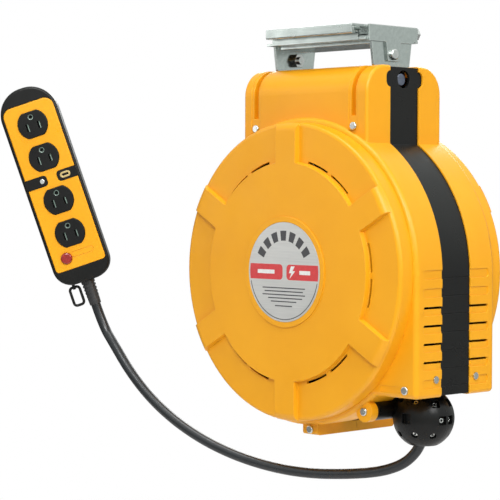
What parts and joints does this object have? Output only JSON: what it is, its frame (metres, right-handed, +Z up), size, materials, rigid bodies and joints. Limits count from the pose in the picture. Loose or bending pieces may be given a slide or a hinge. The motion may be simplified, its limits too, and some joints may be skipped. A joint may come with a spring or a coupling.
{
  "type": "extension cord reel",
  "caption": "Ceiling-hung retractable extension cord reel: round two-part casing, sprung drum, ball stop, free cord and outlet strip on its end.",
  "frame": {"origin": "centre of the mounting rail's top face, on the ceiling", "axes": "+Z up to the ceiling, +X to the side where the cord leaves, along the rail, +Y to the back"},
  "size_m": [0.4843, 0.2996, 0.459],
  "materials": {
    "zinc_steel": "zinc plated, satin",
    "bright_steel": "nickel plated, bright",
    "spring_steel": "blued",
    "yellow_shell": "moulded, semi-gloss",
    "yellow_tap": "moulded, semi-gloss",
    "black_plastic": "moulded, fine texture",
    "white_nylon": "turned nylon",
    "label_silver": "printed foil",
    "bronze": "sintered bronze",
    "brass": "brass",
    "contact_metal": "tinned, dull",
    "carbon": "carbon",
    "cord_jacket": "smooth rubber jacket",
    "black_rubber": "matt rubber",
    "red_lens": "moulded lens"
  },
  "bodies": {
    "mount": {"mount_rail": "zinc_steel"},
    "hanger": {"slide_plate": "zinc_steel", "hanger_yoke": "zinc_steel", "yoke_bolts": "bright_steel", "yoke_nuts": "bright_steel", "swing_pin": "spring_steel", "pin_nut": "spring_steel"},
    "lock_screw": {"lock_screw": "bright_steel"},
    "reel": {"front_shell": "yellow_shell", "rear_shell": "yellow_shell", "centre_band": "black_plastic", "front_disc_cover": "yellow_shell", "rear_disc_cover": "yellow_shell", "label_plate": "label_silver", "cable_gland": "black_plastic", "top_strip": "black_plastic", "frame_top": "zinc_steel", "frame_arm_front": "zinc_steel", "frame_arm_rear": "zinc_steel", "frame_bolts": "zinc_steel", "axle": "bright_steel", "axle_nuts": "bright_steel", "spring_arbor": "bright_steel", "brush_holder": "black_plastic", "brushes": "carbon", "pawl_pin": "bright_steel", "mouth_bumper": "black_rubber", "guide_block": "black_plastic", "roller_pins": "bright_steel", "cord_lead": "cord_jacket", "ball_half_front": "black_plastic", "ball_half_rear": "black_plastic", "ball_screws": "bright_steel", "shell_screws": "bright_steel", "side_screws": "bright_steel", "cord_free": "cord_jacket", "tap_case": "black_plastic", "tap_cover": "yellow_tap", "tap_outlets": "black_plastic", "outlet_contacts": "contact_metal", "tap_lamp": "red_lens", "tap_screw": "bright_steel", "tap_eyelet": "brass", "tap_strain_relief": "black_rubber"},
    "drum": {"drum_hub": "black_plastic", "drum_flange_front": "black_plastic", "drum_flange_rear": "black_plastic", "spring_cover": "black_plastic", "drum_bushes": "bronze", "mainspring": "spring_steel", "ratchet_wheel": "bright_steel", "drum_bolts": "bright_steel", "slip_ring_core": "black_plastic", "slip_rings": "brass", "cord_winding": "cord_jacket"},
    "guide_roller_left": {"guide_roller_left": "white_nylon"},
    "guide_roller_right": {"guide_roller_right": "white_nylon"},
    "pawl": {"pawl": "bright_steel"},
    "hook_ring": {"hook_ring": "black_plastic"}
  },
  "joints": [
    {"name": "rail_slide", "type": "slide", "parent": "mount", "child": "hanger", "axis": [1, 0, 0], "range_m": [0, 0.125]},
    {"name": "lock_screw_release", "type": "slide", "parent": "mount", "child": "lock_screw", "axis": [0, 1, 0], "range_m": [0, 0.005]},
    {"name": "reel_swing", "type": "hinge", "parent": "hanger", "child": "reel", "pos_m": [0, 0, -0.0545], "axis": [1, 0, 0], "range_deg": [-20, 20]},
    {"name": "drum_spin", "type": "hinge", "parent": "reel", "child": "drum", "pos_m": [0, 0, -0.247], "axis": [0, 1, 0], "continuous": true},
    {"name": "guide_roller_left_spin", "type": "hinge", "parent": "reel", "child": "guide_roller_left", "pos_m": [0.09945, 0, -0.338], "axis": [0, 1, 0], "continuous": true},
    {"name": "guide_roller_right_spin", "type": "hinge", "parent": "reel", "child": "guide_roller_right", "pos_m": [0.12855, 0, -0.338], "axis": [0, 1, 0], "continuous": true},
    {"name": "pawl_lift", "type": "hinge", "parent": "reel", "child": "pawl", "pos_m": [0, 0, -0.185], "axis": [0, 1, 0], "range_deg": [-18, 0], "stiffness_Nm_per_rad": 0.02},
    {"name": "hook_ring_swing", "type": "hinge", "parent": "reel", "child": "hook_ring", "pos_m": [-0.26552, -0.13769, -0.27087], "axis": [0.6448, 0.6915, 0.3256], "range_deg": [-75, 75]}
  ],
  "couplings": [
    {"joint": "guide_roller_left_spin", "follows": "drum_spin", "ratio": 12.667},
    {"joint": "guide_roller_right_spin", "follows": "drum_spin", "ratio": -12.667}
  ]
}
